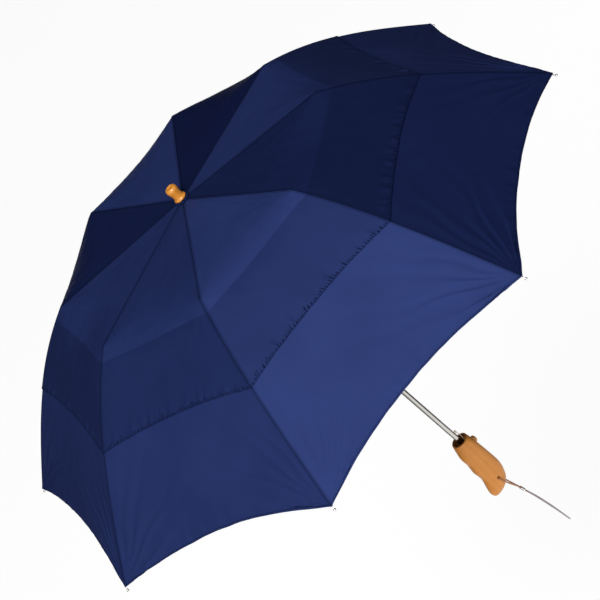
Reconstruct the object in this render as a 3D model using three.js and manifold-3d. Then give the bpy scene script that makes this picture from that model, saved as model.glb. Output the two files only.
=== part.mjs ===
// Two-section folding umbrella with a vented eight-rib canopy, a telescopic shaft and a carved wooden handle.
// Millimetres, +Z up along the shaft towards the finial. The origin is the middle of the grip on the shaft axis.
import * as THREE from 'three';
import { mergeVertices } from 'three/addons/utils/BufferGeometryUtils.js';
import Module from 'manifold-3d';

const wasm = await Module();
wasm.setup();

// ---------------------------------------------------------------- driving dimensions
const RIBS = 8;
const FIRST_RIB_ANGLE = Math.PI / 8;      // the handle's back faces the gap between two ribs
const RIB_STEP = 2 * Math.PI / RIBS;

const HANDLE_LENGTH = 121;
const MOUTH_Z = HANDLE_LENGTH / 2;        // rim of the hollow handle
const SHAFT_REACH = 624;                  // rim of the handle to the fabric at the crown
const APEX_Z = MOUTH_Z + SHAFT_REACH;

// canopy profile along a rib: radius, and height below the apex
const ELBOW = new THREE.Vector2(248, -5.3);
const TIP = new THREE.Vector2(504, -221);
const RIB_BOW = 78;                       // scale of the outer rib's bend
const HEM_PULL = 0.077;                   // how far the edges curve in between ribs
const VENT_EDGE = 0.44;                   // lower edge of the top layer, as a share of elbow to tip
const UNDER_EDGE = 0.07;                  // upper edge of the bottom layer
const CLOTH = 0.6;
const LAYER_STEP = 1.2;                   // top layer's face to bottom layer's face

// linkage
const LINK = 123;                         // top rib, and each half of the stretcher
const HINGE_R = 8;                        // hinge circles of the crown and the runner
const HINGE_DROP = 11;                    // crown hinges below the apex
const OPEN_ANGLE = THREE.MathUtils.degToRad(15);
const TAIL = 14;                          // top rib beyond the crossing, to the rod's pivot
const CRANK_ANGLE = THREE.MathUtils.degToRad(12);
const CLOSED_ANGLE = THREE.MathUtils.degToRad(88);
const SEATED_TIP_R = 8.8;                 // rib tips inside the handle when all is closed
const PIN_R = 0.8;
const PIN_HOLE_R = 1.1;
const BAR_HALF = 1.1;                     // half thickness of the stretcher
const PLATE_IN = 1.5;                     // side plates of the top rib and the fork
const PLATE_OUT = 2.2;
const ROD_IN = 2.6;
const ROD_OUT = 3.6;
const RIVET = 0.4;                        // how far a rivet stands out of what it holds
const WIRE_R = 0.9;                       // outer rib's round wire

// shaft
const LOWER_OUT = 4.2;
const LOWER_IN = 3.75;
const UPPER_OUT = 3.45;
const UPPER_IN = 3.0;
const LOWER_ABOVE = 300;
const LOWER_BELOW = 84;
const OVERLAP = 20;
const GAP = 0.3;

// handle and latch
const CUP_R = 11.8;
const CUP_DEPTH = 31;
const BUTTON_Z = MOUTH_Z - 19;
const BUTTON_HEAD_R = 6.2;
const BUTTON_BODY_R = 3;
const BUTTON_HEAD_X = -15.3;              // underside of the domed head
const BUTTON_TRAVEL = 1.65;
const LATCH_X = -7.2;
const LATCH_PIVOT_Z = MOUTH_Z - 8;
const STRAP_HOLE = new THREE.Vector3(4.2, 0, MOUTH_Z - 93);
const STRAP_HOLE_R = 2.6;
const STRAP_R = 1.2;

// ---------------------------------------------------------------- materials
const finish = (color, roughness, metalness = 0) => new THREE.MeshStandardMaterial({ color, roughness, metalness });
const HONEY_WOOD = () => finish(0xc8853f, 0.35);
const NAVY_CLOTH = () => finish(0x1d2858, 0.6);
const CHROME = () => finish(0xcfcfcd, 0.15, 1);
const RIB_STEEL = () => finish(0xb9bcc0, 0.3, 1);
const BLACK_PLASTIC = () => finish(0x17181b, 0.5);
const CLEAR_PLASTIC = () => finish(0xe6e2d8, 0.4);
const LEATHER = () => finish(0x8a4f2a, 0.6);

// ---------------------------------------------------------------- solids
function solid(geometry) {
  const bare = geometry.clone();
  bare.deleteAttribute('normal');
  bare.deleteAttribute('uv');
  const merged = mergeVertices(bare, 1e-4);
  return new wasm.Manifold(new wasm.Mesh({
    numProp: 3,
    vertProperties: new Float32Array(merged.attributes.position.array),
    triVerts: new Uint32Array(merged.index.array),
  }));
}

function geometryOf(manifold) {
  const mesh = manifold.getMesh();
  const geometry = new THREE.BufferGeometry();
  geometry.setAttribute('position', new THREE.BufferAttribute(new Float32Array(mesh.vertProperties), 3));
  geometry.setIndex(new THREE.BufferAttribute(new Uint32Array(mesh.triVerts), 1));
  return geometry;
}

const union = (...geometries) => geometryOf(geometries.map(solid).reduce((a, b) => a.add(b)));
const cut = (body, ...tools) => geometryOf(tools.map(solid).reduce((a, b) => a.subtract(b), solid(body)));

function grid(rows, closedAcross, capStart, capEnd) {
  // joins rows of points (all the same length) into a closed skin
  const width = rows[0].length;
  const points = rows.flat();
  const faces = [];
  const columns = closedAcross ? width : width - 1;
  for (let i = 0; i + 1 < rows.length; i++) {
    for (let j = 0; j < columns; j++) {
      const k = (j + 1) % width;
      const [a, b, c, d] = [i * width + j, i * width + k, (i + 1) * width + k, (i + 1) * width + j];
      faces.push(a, b, c, a, c, d);
    }
  }
  for (const [row, centre] of [[0, capStart], [rows.length - 1, capEnd]]) {
    if (!centre) continue;
    const hub = points.push(centre) - 1;
    for (let j = 0; j < width; j++) {
      const a = row * width + j;
      const b = row * width + (j + 1) % width;
      faces.push(...(row === 0 ? [hub, b, a] : [hub, a, b]));
    }
  }
  const geometry = new THREE.BufferGeometry();
  geometry.setAttribute('position', new THREE.Float32BufferAttribute(points.flatMap((p) => p.toArray()), 3));
  geometry.setIndex(faces);
  return geometry;
}

const zLathe = (profile, sides) =>
  new THREE.LatheGeometry(profile.map(([r, z]) => new THREE.Vector2(r, z)), sides).rotateX(Math.PI / 2);

const zTube = (inner, outer, low, high, sides = 20) =>
  zLathe([[inner, low], [outer, low], [outer, high], [inner, high], [inner, low]], sides);

const zRod = (radius, low, high, sides = 24) => zLathe([[0, low], [radius, low], [radius, high], [0, high]], sides);

const box = (x0, x1, y0, y1, z0, z1) => new THREE.BoxGeometry(x1 - x0, y1 - y0, z1 - z0)
  .translate((x0 + x1) / 2, (y0 + y1) / 2, (z0 + z1) / 2);

const yPin = (x, z, radius, y0, y1, sides = 8) =>
  new THREE.CylinderGeometry(radius, radius, y1 - y0, sides).translate(x, (y0 + y1) / 2, z);

const xPin = (z, radius, x0, x1, sides = 16) =>
  new THREE.CylinderGeometry(radius, radius, x1 - x0, sides).rotateZ(Math.PI / 2).translate((x0 + x1) / 2, 0, z);

function tubeAlong(path, radius, sides, steps) {
  const section = new THREE.Shape();
  for (let i = 0; i < sides; i++) {
    const angle = 2 * Math.PI * i / sides;
    section[i ? 'lineTo' : 'moveTo'](radius * Math.cos(angle), radius * Math.sin(angle));
  }
  return new THREE.ExtrudeGeometry(section, { steps, extrudePath: path, bevelEnabled: false });
}

// ---------------------------------------------------------------- the rib plane
// Every rib piece is drawn in the plane y = 0 as (radius, height) and turned to its own angle afterwards.
const polar = (length, angle) => new THREE.Vector2(length * Math.cos(angle), length * Math.sin(angle));
const bend = (u) => RIB_BOW * u * (1 - u) * (2 - u) / 2;

function onArc(start, end, u) {
  const chord = end.clone().sub(start);
  const normal = new THREE.Vector2(-chord.y, chord.x).normalize();
  return start.clone().addScaledVector(chord, u).addScaledVector(normal, bend(u));
}

const crownHinge = new THREE.Vector2(HINGE_R, APEX_Z - HINGE_DROP);
const crossing = crownHinge.clone().add(polar(LINK, -OPEN_ANGLE));
const runnerHinge = new THREE.Vector2(HINGE_R, crownHinge.y - 2 * LINK * Math.sin(OPEN_ANGLE));
const elbow = crownHinge.clone().add(new THREE.Vector2(2 * LINK * Math.cos(OPEN_ANGLE), 0));
const rodPivot = crownHinge.clone().add(polar(LINK + TAIL, -OPEN_ANGLE));
const ribEnd = new THREE.Vector2(TIP.x - 3, APEX_Z + TIP.y - 3.5);
const ribChordAngle = ribEnd.clone().sub(elbow).angle() - 2 * Math.PI;
const tipAngle = ribEnd.clone().sub(onArc(elbow, ribEnd, 0.99)).angle();
const TIP_REACH = 3;
const tipBall = ribEnd.clone().add(polar(TIP_REACH, tipAngle));

// the crank on the outer rib is as long as lets one rigid rod fit both the open and the folded frame
const closedCrossing = crownHinge.clone().add(polar(LINK, -CLOSED_ANGLE));
const closedElbow = crownHinge.clone().add(new THREE.Vector2(2 * LINK * Math.cos(CLOSED_ANGLE), 0));
const closedRodPivot = closedCrossing.clone().add(polar(TAIL, -CLOSED_ANGLE));
const tipArm = tipBall.clone().sub(elbow);
const closedTipAngle = -Math.PI / 2 - Math.asin((closedElbow.x - SEATED_TIP_R) / tipArm.length());
const outerTurn = closedTipAngle - (tipArm.angle() - 2 * Math.PI);
const crankLength = (() => {
  const open = elbow.clone().sub(rodPivot);
  const closed = closedElbow.clone().sub(closedRodPivot);
  const openDot = open.dot(polar(1, ribChordAngle + CRANK_ANGLE));
  const closedDot = closed.dot(polar(1, ribChordAngle + CRANK_ANGLE + outerTurn));
  return (closed.lengthSq() - open.lengthSq()) / (2 * (openDot - closedDot));
})();
const crank = elbow.clone().add(polar(crankLength, ribChordAngle + CRANK_ANGLE));
const closedCrank = closedElbow.clone().add(polar(crankLength, ribChordAngle + CRANK_ANGLE + outerTurn));

// a flat bar between two round eyes, with pin holes, of the given thickness range in y
function bar(start, end, half, y0, y1, holes = []) {
  const along = end.clone().sub(start);
  const angle = along.angle();
  const shape = new THREE.Shape();
  shape.absarc(0, 0, half, Math.PI / 2, Math.PI * 3 / 2, false);
  shape.absarc(along.length(), 0, half, -Math.PI / 2, Math.PI / 2, false);
  shape.closePath();
  for (const [distance, radius] of holes) {
    shape.holes.push(new THREE.Path().absarc(distance, 0, radius, 0, 2 * Math.PI, true));
  }
  return new THREE.ExtrudeGeometry(shape, { depth: y1 - y0, bevelEnabled: false, curveSegments: 3 })
    .rotateX(Math.PI / 2)
    .translate(0, y1, 0)
    .rotateY(-angle)
    .translate(start.x, 0, start.y);
}

// a plain strip with square ends
function strip(start, end, half, y0, y1) {
  const along = end.clone().sub(start);
  return box(0, along.length(), y0, y1, -half, half)
    .rotateY(-along.angle())
    .translate(start.x, 0, start.y);
}

function topRib() {
  // an eye for the crown's wire, then two side plates joined by a block and a web, open at the crossing
  const BLOCK_FROM = 18;
  const BLOCK_TO = 24;
  const WEB_FROM = 26;
  const WEB_TO = LINK - 14;
  const WEB_DROP = 1.75;
  const HALF = 2;
  const blockY = PLATE_OUT - 0.2;
  const blockStart = crownHinge.clone().add(polar(BLOCK_FROM, -OPEN_ANGLE));
  const blockEnd = crownHinge.clone().add(polar(BLOCK_TO, -OPEN_ANGLE));
  const webStart = crownHinge.clone().add(polar(WEB_FROM, -OPEN_ANGLE))
    .add(polar(WEB_DROP, -OPEN_ANGLE - Math.PI / 2));
  const webEnd = webStart.clone().add(polar(WEB_TO - WEB_FROM, -OPEN_ANGLE));
  return union(
    bar(crownHinge, blockStart, HALF - 0.1, -BAR_HALF, BAR_HALF, [[0, PIN_HOLE_R]]),
    strip(blockStart, blockEnd, HALF - 0.3, -blockY, blockY),
    bar(blockStart, rodPivot, HALF, PLATE_IN, PLATE_OUT),
    bar(blockStart, rodPivot, HALF, -PLATE_OUT, -PLATE_IN),
    strip(webStart, webEnd, 0.3, -blockY, blockY),
    yPin(crossing.x, crossing.y, PIN_R, -PLATE_OUT, PLATE_OUT),
    yPin(rodPivot.x, rodPivot.y, PIN_R, PLATE_IN, ROD_OUT + RIVET),
  );
}

const LINK_HALF = 1.6;                    // half width of the stretcher and the link rod

const stretcher = () => bar(runnerHinge, elbow, LINK_HALF, -BAR_HALF, BAR_HALF,
  [[0, PIN_HOLE_R - 0.2], [LINK, PIN_HOLE_R], [2 * LINK, PIN_HOLE_R]]);

function outerRib() {
  // a fork at the elbow, a block that closes it, and the round spring wire that carries the cloth
  const FORK = 24;
  const BLOCK = 7;
  const HALF = 2;
  const blockY = PLATE_OUT - 0.2;
  const forkEnd = elbow.clone().add(polar(FORK, ribChordAngle + CRANK_ANGLE));
  const blockStart = elbow.clone().add(polar(FORK - BLOCK, ribChordAngle + CRANK_ANGLE));
  const wireStart = 0.045;                // share of the way from the elbow to the tip
  const STEPS = 8;
  const points = [];
  for (let i = 0; i <= STEPS; i++) {
    const p = onArc(elbow, ribEnd, wireStart + (1 - wireStart) * i / STEPS);
    points.push(new THREE.Vector3(p.x, 0, p.y));
  }
  return union(
    bar(elbow, forkEnd, HALF, PLATE_IN, PLATE_OUT),
    bar(elbow, forkEnd, HALF, -PLATE_OUT, -PLATE_IN),
    strip(blockStart, forkEnd, HALF - 0.2, -blockY, blockY),
    yPin(elbow.x, elbow.y, PIN_R, -PLATE_OUT, PLATE_OUT),
    tubeAlong(new THREE.CatmullRomCurve3(points), WIRE_R, 6, 12),
  );
}

const linkRod = () => bar(rodPivot, crank, LINK_HALF, ROD_IN, ROD_OUT, [[0, PIN_HOLE_R]]);

function ribTip() {
  const BALL_R = 1.8;
  const SHANK_R = 1.3;
  const SHANK = 6;
  const neck = Math.sqrt(BALL_R ** 2 - SHANK_R ** 2);
  const profile = [[0, -TIP_REACH + GAP], [WIRE_R + GAP, -TIP_REACH + GAP], [WIRE_R + GAP, -SHANK],
    [SHANK_R + 0.1, -SHANK]];
  const start = -Math.atan2(neck, SHANK_R);
  const ARCS = 4;
  for (let i = 0; i <= ARCS; i++) {
    const angle = start + (Math.PI / 2 - start) * i / ARCS;
    profile.push([i === ARCS ? 0 : BALL_R * Math.cos(angle), BALL_R * Math.sin(angle)]);
  }
  return zLathe(profile, 8)
    .rotateY(Math.PI / 2 - tipAngle)
    .translate(tipBall.x, 0, tipBall.y);
}

// ---------------------------------------------------------------- canopy
function canopyPoint(rowStart, u, column, columns, drop) {
  // u runs from the crown (-1) to the elbow (0) and on to the tip (1)
  const across = (column % columns) / columns;
  const crown = new THREE.Vector2(rowStart, 0);
  const pull = 1 - HEM_PULL * (1 - (2 * across - 1) ** 2);
  const p = u <= 0 ? crown.lerp(ELBOW, 1 + u) : onArc(ELBOW, TIP, u * pull);
  const gore = Math.floor(column / columns);
  const ribAngle = FIRST_RIB_ANGLE + RIB_STEP * gore;
  const a = new THREE.Vector3(p.x, 0, APEX_Z + p.y - drop).applyAxisAngle(new THREE.Vector3(0, 0, 1), ribAngle);
  const b = a.clone().applyAxisAngle(new THREE.Vector3(0, 0, 1), RIB_STEP);
  return a.lerp(b, across);
}

function canopyLayer(rows, drop) {
  const COLUMNS = 4;
  const skin = (extra, list) => list.map((u) => Array.from({ length: COLUMNS * RIBS },
    (_, column) => canopyPoint(5, u, column, COLUMNS, drop + extra)));
  const outside = skin(0, [...rows].reverse());
  const inside = skin(CLOTH, rows);
  return grid([...outside, ...inside, outside[0]], true);
}

const canopyTop = () => canopyLayer([-1, -0.5, 0, 0.1, 0.2, 0.32, VENT_EDGE], 0);
const canopyBottom = () => canopyLayer([UNDER_EDGE, 0.2, 0.35, 0.5, 0.65, 0.82, 1], LAYER_STEP);

function rosette() {
  // gathered collar of cloth that hides the seams' meeting point
  return zLathe([[UPPER_OUT + GAP, 0.9], [13, 0.9], [13.4, 1.6], [9, 3.1], [UPPER_OUT + GAP, 3.4],
    [UPPER_OUT + GAP, 0.9]], 24).translate(0, 0, APEX_Z);
}

// ---------------------------------------------------------------- shaft, crown and runner
const UPPER_TOP = APEX_Z + 14;
const LOWER_TOP = MOUTH_Z + LOWER_ABOVE;
const LOWER_BOTTOM = MOUTH_Z - LOWER_BELOW;
const UPPER_BOTTOM = LOWER_TOP - OVERLAP;
const SEAT_TOP = LOWER_BOTTOM + 6;

function notchedRing(inner, outer, low, high) {
  // a hub with one slot for each rib's flat eye
  const slots = Array.from({ length: RIBS }, (_, n) =>
    box(5.9, outer + 5, -BAR_HALF - 0.4, BAR_HALF + 0.4, low - 1, high + 1).rotateZ(FIRST_RIB_ANGLE + RIB_STEP * n));
  return cut(zTube(inner, outer, low, high, 24), ...slots);
}

function hingeWire(radius, sides) {
  return new THREE.TorusGeometry(HINGE_R, radius, sides, 24).translate(0, 0, crownHinge.y);
}

const crown = () => cut(
  union(
    notchedRing(UPPER_OUT + GAP, 12, crownHinge.y - 3, crownHinge.y + 2.6),
    zTube(UPPER_OUT + GAP, 5.7, crownHinge.y - 8, crownHinge.y + 5, 24),
  ),
  hingeWire(PIN_R + 0.1, 5),
);

const crownWire = () => hingeWire(0.5, 5);

const SLEEVE = 64.5;
const WINDOW_LOW = 3.2;                   // above the sleeve's lower end
const WINDOW_HEIGHT = 5.6;

function runner() {
  const bottom = runnerHinge.y - SLEEVE;
  const windowBox = box(-12, -3, -1.7, 1.7, bottom + WINDOW_LOW, bottom + WINDOW_LOW + WINDOW_HEIGHT);
  return cut(
    union(
      notchedRing(4.5, 11, runnerHinge.y - 3.5, runnerHinge.y + 3),
      zTube(4.5, 5.6, bottom, runnerHinge.y + 5, 24),
    ),
    windowBox,
  );
}

function mainSpring() {
  const TURNS = 20;
  const STEPS_PER_TURN = 6;
  const COIL_R = 2.5;
  const WIRE = 0.4;
  const low = SEAT_TOP + 1;
  const high = UPPER_BOTTOM - 1;
  const rows = [];
  const steps = TURNS * STEPS_PER_TURN;
  for (let i = 0; i <= steps; i++) {
    const angle = 2 * Math.PI * i / STEPS_PER_TURN;
    const z = low + (high - low) * i / steps;
    rows.push([[0, -1], [-1, 0], [0, 1], [1, 0]].map(([out, up]) => new THREE.Vector3(
      (COIL_R + out * WIRE) * Math.cos(angle), (COIL_R + out * WIRE) * Math.sin(angle), z + up * WIRE)));
  }
  const centre = (row) => row[0].clone().lerp(row[2], 0.5);
  return grid(rows, true, centre(rows[0]), centre(rows[steps]));
}

function finial() {
  return zLathe([[0, 15], [UPPER_OUT + GAP, 15], [UPPER_OUT + GAP, 3.8], [8.8, 3.8], [10, 4.8], [10, 6.4],
    [8.6, 8], [8.1, 11], [8.3, 15], [9.1, 19.5], [9.4, 22.5], [8.8, 25.3], [6.9, 27.3], [4, 28.2], [0, 28.2]],
  24).translate(0, 0, APEX_Z);
}

// ---------------------------------------------------------------- handle
// depth below the rim: front (finger side), back, and half width of the carved grip
const FRONT = [[0, 14.4], [8, 16.8], [16, 18.8], [24, 20.6], [33, 21.2], [41, 21], [50, 22.3], [60, 23.8],
  [70, 23.2], [78, 23], [86, 24.4], [94, 26.8], [102, 29.2], [109, 30.6], [115, 30], [119, 27.6], [121, 21.4]];
const BACK = [[0, -14.4], [12, -15.7], [30, -16.6], [56, -17.1], [74, -17], [87, -15.2], [97, -12.2],
  [105, -8.4], [112, -2.6], [117, 4.4], [119.8, 12], [121, 20.6]];
const SIDE = [[0, 14.4], [30, 14.3], [60, 13.6], [85, 12.6], [100, 11.6], [110, 10], [116, 7.6], [119.5, 4.6],
  [121, 1]];

function along(outline, depth) {
  // smooth curve through an outline's points
  const i = Math.max(0, outline.findIndex(([d]) => d >= depth) - 1);
  const at = (k) => outline[Math.min(Math.max(k, 0), outline.length - 1)];
  const slope = (k) => {
    const [before, after] = [at(k - 1), at(k + 1)];
    return (after[1] - before[1]) / (after[0] - before[0]);
  };
  const [[d0, v0], [d1, v1]] = [at(i), at(i + 1)];
  const span = d1 - d0;
  const t = (depth - d0) / span;
  return (2 * t ** 3 - 3 * t ** 2 + 1) * v0 + (t ** 3 - 2 * t ** 2 + t) * span * slope(i)
    + (3 * t ** 2 - 2 * t ** 3) * v1 + (t ** 3 - t ** 2) * span * slope(i + 1);
}

function gripSquareness(angle, depth) {
  // 2 is a circle; the back has two soft edges down its length, which fade out above the strap's hole
  const allRound = 0.5 * Math.min(1, depth / 30);
  const back = 1.6 * Math.min(1, depth / 12) * THREE.MathUtils.clamp((96 - depth) / 24, 0, 1);
  return 2 + allRound + (Math.cos(angle) < 0 ? back : 0);
}

function handle() {
  const SIDES = 24;
  const DEPTHS = [0, 5, 11, 17, 23, 30, 37, 44, 51, 58, 65, 72, 79, 86, 93, 99, 104, 108.5, 112.5, 115.8, 118.2,
    119.8, 120.7];
  const rows = DEPTHS.map((depth) => {
    const front = along(FRONT, depth);
    const back = along(BACK, depth);
    const side = along(SIDE, depth);
    return Array.from({ length: SIDES }, (_, j) => {
      const angle = 2 * Math.PI * j / SIDES;
      const squareness = gripSquareness(angle, depth);
      const reach = (Math.abs(Math.cos(angle)) ** squareness + Math.abs(Math.sin(angle)) ** squareness)
        ** (-1 / squareness);
      return new THREE.Vector3((front + back) / 2 + (front - back) / 2 * reach * Math.cos(angle),
        side * reach * Math.sin(angle), MOUTH_Z - depth);
    });
  });
  const body = grid(rows.reverse(), true, new THREE.Vector3(21, 0, MOUTH_Z - HANDLE_LENGTH),
    new THREE.Vector3(0, 0, MOUTH_Z));
  return cut(
    body,
    zRod(CUP_R, MOUTH_Z - CUP_DEPTH, MOUTH_Z + 1, 24),
    zRod(LOWER_OUT + GAP, LOWER_BOTTOM - GAP, MOUTH_Z, 16),
    xPin(BUTTON_Z, BUTTON_BODY_R + GAP, -24, -8, 12),
    xPin(BUTTON_Z, BUTTON_HEAD_R + 2 * GAP, -24, BUTTON_HEAD_X + BUTTON_TRAVEL + GAP, 16),
    yPin(STRAP_HOLE.x, STRAP_HOLE.z, STRAP_HOLE_R, -20, 20, 12),
  );
}

function pushButton() {
  // domed head outside, body through the wall, retaining flange and stem inside
  const FLANGE_R = 3.5;
  const STEM_R = 1.6;
  const profile = [[0, -8.3], [STEM_R, -8.3], [STEM_R, -10.3], [FLANGE_R, -10.3], [FLANGE_R, -10.9],
    [BUTTON_BODY_R, -10.9], [BUTTON_BODY_R, BUTTON_HEAD_X], [BUTTON_HEAD_R - 0.1, BUTTON_HEAD_X],
    [BUTTON_HEAD_R, -17.6], [5.3, -19.2], [3.2, -20.4], [0, -20.8]];
  return zLathe(profile.reverse(), 16)
    .rotateY(Math.PI / 2)
    .translate(0, 0, BUTTON_Z);
}

function latchLever() {
  // see-saw blade: the button pushes its foot, and its nose hooks into the runner's window
  const [outer, inner] = [LATCH_X - 0.6, LATCH_X + 0.6];
  const [foot, noseLow, top] = [MOUTH_Z - 21, MOUTH_Z + 14, MOUTH_Z + 18];
  const NOSE_X = -4.6;
  const HALF = 1.15;
  const BOSS_R = 1.9;
  return cut(
    union(
      box(outer, inner, -HALF, HALF, foot, top),
      box(outer, NOSE_X, -HALF, HALF, noseLow, top),
      yPin(LATCH_X, LATCH_PIVOT_Z, BOSS_R, -HALF, HALF, 12),
    ),
    yPin(LATCH_X, LATCH_PIVOT_Z, PIN_HOLE_R, -2, 2),
  );
}

function latchBlock() {
  // two cheeks on the cup's wall carry the lever's pin
  const [low, high] = [MOUTH_Z - 12.5, MOUTH_Z - 3];
  return cut(
    box(-11.3, -5.4, -2.1, 2.1, low, high),
    box(-9.8, -5, -1.45, 1.45, low - 1, high + 1),
    yPin(LATCH_X, LATCH_PIVOT_Z, PIN_HOLE_R, -3, 3),
  );
}

const latchPin = () => yPin(LATCH_X, LATCH_PIVOT_Z, PIN_R, -2.1, 2.1);

function latchSpring() {
  // bowed leaf between the lower tube and the lever's lower arm
  const STEPS = 8;
  const [low, high] = [MOUTH_Z - 29, MOUTH_Z - 13];
  const rows = [];
  for (let i = 0; i <= STEPS; i++) {
    const x = -4.6 - 1.3 * Math.sin(Math.PI * i / STEPS);
    const z = low + (high - low) * i / STEPS;
    rows.push([[0, -1], [0.3, -1], [0.3, 1], [0, 1]].map(([dx, y]) => new THREE.Vector3(x - 0.3 + dx, y, z)));
  }
  const centre = (row) => row[0].clone().lerp(row[2], 0.5);
  return grid(rows, true, centre(rows[0]), centre(rows[STEPS]));
}

const springSeat = () => zRod(LOWER_IN - GAP, LOWER_BOTTOM + 0.5, SEAT_TOP, 16);

// ---------------------------------------------------------------- wrist strap
// one leather thong through the handle: out on one side, down through the clamp, round, and back up
const STRAP_SIDE = [
  [4.2, 0.3, -32.5], [4.2, 6, -32.5], [4.2, 11, -32.6], [4, 14.2, -34.6], [3, 15.4, -39.5], [1.2, 14.6, -48],
  [-1.4, 11.4, -58.5], [-4, 6.6, -69], [-6, 2.6, -77.5], [-7.2, 1.6, -83], [-9.2, 1.6, -95], [-11.2, 3.2, -106],
  [-14, 8, -123], [-17, 12.8, -146], [-19.4, 14.6, -168], [-20.9, 11.6, -186], [-21.6, 5.6, -195.2],
];
const STRAP_BOTTOM = [-21.8, 0, -197.4];
const CLAMP_TOP = new THREE.Vector3(-7.4, 0, -84);
const CLAMP_END = new THREE.Vector3(-9.2, 0, -95);

function wristStrap() {
  const back = STRAP_SIDE.map(([x, y, z]) => [x, -y, z]).reverse();
  const points = [...STRAP_SIDE, STRAP_BOTTOM, ...back].map((p) => new THREE.Vector3(...p));
  return tubeAlong(new THREE.CatmullRomCurve3(points, false, 'centripetal'), STRAP_R, 8, 64);
}

function strapClamp() {
  const oval = (x, y, path) => path.absellipse(0, 0, x, y, 0, 2 * Math.PI, false);
  const shape = oval(2.3, 3.9, new THREE.Shape());
  shape.holes.push(oval(1.6, 3.2, new THREE.Path()));
  const direction = CLAMP_END.clone().sub(CLAMP_TOP);
  const lean = Math.atan2(-direction.x, -direction.z);
  return new THREE.ExtrudeGeometry(shape, { depth: direction.length(), bevelEnabled: false, curveSegments: 8 })
    .rotateY(lean)
    .translate(CLAMP_END.x, 0, CLAMP_END.z);
}

// ---------------------------------------------------------------- assembly
const umbrella = new THREE.Group();

function place(name, geometry, material, parent = umbrella) {
  const mesh = new THREE.Mesh(geometry, material);
  mesh.name = name;
  parent.add(mesh);
}

place('handle', handle(), HONEY_WOOD());
place('push_button', pushButton(), HONEY_WOOD());
place('latch_block', latchBlock(), HONEY_WOOD());
place('latch_lever', latchLever(), CLEAR_PLASTIC());
place('latch_pin', latchPin(), RIB_STEEL());
place('latch_spring', latchSpring(), RIB_STEEL());
place('lower_tube', zTube(LOWER_IN, LOWER_OUT, LOWER_BOTTOM, LOWER_TOP), CHROME());
place('upper_tube', zTube(UPPER_IN, UPPER_OUT, UPPER_BOTTOM, UPPER_TOP), CHROME());
place('spring_seat', springSeat(), BLACK_PLASTIC());
place('main_spring', mainSpring(), RIB_STEEL());
place('wrist_strap', wristStrap(), LEATHER());
place('strap_clamp', strapClamp(), RIB_STEEL());
place('crown', crown(), BLACK_PLASTIC());
place('crown_wire', crownWire(), RIB_STEEL());
place('runner', runner(), BLACK_PLASTIC());
place('finial', finial(), HONEY_WOOD());
place('rosette', rosette(), NAVY_CLOTH());
place('canopy_top', canopyTop(), NAVY_CLOTH());
place('canopy_bottom', canopyBottom(), NAVY_CLOTH());

const ribPieces = {
  top_rib: topRib(), stretcher: stretcher(), outer_rib: outerRib(), link_rod: linkRod(), rib_tip: ribTip(),
};
for (let n = 0; n < RIBS; n++) {
  const arm = new THREE.Group();
  arm.rotation.z = FIRST_RIB_ANGLE + RIB_STEP * n;
  umbrella.add(arm);
  for (const [name, geometry] of Object.entries(ribPieces)) {
    place(`${name}_${n + 1}`, geometry, RIB_STEEL(), arm);
  }
}

export default umbrella;
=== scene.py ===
"""The folding umbrella's looks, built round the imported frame: +Z up the shaft, the origin in the grip."""

import math

import bpy
import numpy as np
from mathutils import Matrix, Vector


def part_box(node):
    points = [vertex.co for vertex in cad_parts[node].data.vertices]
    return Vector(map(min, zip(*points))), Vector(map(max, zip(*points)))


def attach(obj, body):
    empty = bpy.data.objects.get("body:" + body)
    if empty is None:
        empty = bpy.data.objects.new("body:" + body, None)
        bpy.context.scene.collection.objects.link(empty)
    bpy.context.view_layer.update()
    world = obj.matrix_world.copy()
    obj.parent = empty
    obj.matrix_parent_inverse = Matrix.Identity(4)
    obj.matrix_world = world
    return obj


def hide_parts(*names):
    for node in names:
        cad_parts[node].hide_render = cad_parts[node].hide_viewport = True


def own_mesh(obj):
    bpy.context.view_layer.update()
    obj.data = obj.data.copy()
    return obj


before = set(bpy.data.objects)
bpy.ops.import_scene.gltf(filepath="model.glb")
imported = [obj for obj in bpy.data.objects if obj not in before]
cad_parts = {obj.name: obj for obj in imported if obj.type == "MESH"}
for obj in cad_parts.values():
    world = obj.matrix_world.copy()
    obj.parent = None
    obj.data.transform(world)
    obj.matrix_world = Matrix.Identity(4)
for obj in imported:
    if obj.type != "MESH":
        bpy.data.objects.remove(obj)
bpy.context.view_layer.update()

MM = 0.001

# ------------------------------------------------------------------ sizes, in millimetres
RIBS = 8
FIRST_RIB = math.pi / 8
RIB_STEP = 2 * math.pi / RIBS
APEX_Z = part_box("rosette")[0].z / MM - 0.9   # the cloth's height at the crown
MOUTH_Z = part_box("handle")[1].z / MM         # the rim of the handle
BUTTON_Z = MOUTH_Z - 19
STRAP_HOLE = (4.2, MOUTH_Z - 93)             # x and z of the hole through the grip
CUP_R, CUP_DEPTH = 11.8, 31                  # the hollow mouth of the handle

CROWN_R = 5
ELBOW = np.array((248, -5.3))                # radius, and height above the apex
TIP = np.array((504, -221))
RIB_BOW = 78                                 # scale of the outer rib's bend
HEM_PULL = 0.077                             # how far the edges curve in between ribs
VENT_EDGE = 0.44                             # lower edge of the top layer, as a share of elbow to tip
UNDER_EDGE = 0.07                            # upper edge of the bottom layer
LAYER_STEP = 1.2                             # top layer down to the bottom layer
CLOTH = 0.28                                 # thickness of the cloth as shown
STITCH_INSET = 2.7                           # stitching to the free edge of the vent and the hem
INNER = float(np.linalg.norm(ELBOW - (CROWN_R, 0)))
OUTER = float(np.linalg.norm(TIP - ELBOW))


# ------------------------------------------------------------------ camera
CAMERA_PLACE = (0.134, 2.970, 2.079)
CAMERA_FORWARD = Vector((-0.0400, -0.8742, -0.4839)).normalized()
CAMERA_RIGHT = Vector((-0.6396, 0.3945, -0.6598)).normalized()
CAMERA_LENS = 139.08


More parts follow.
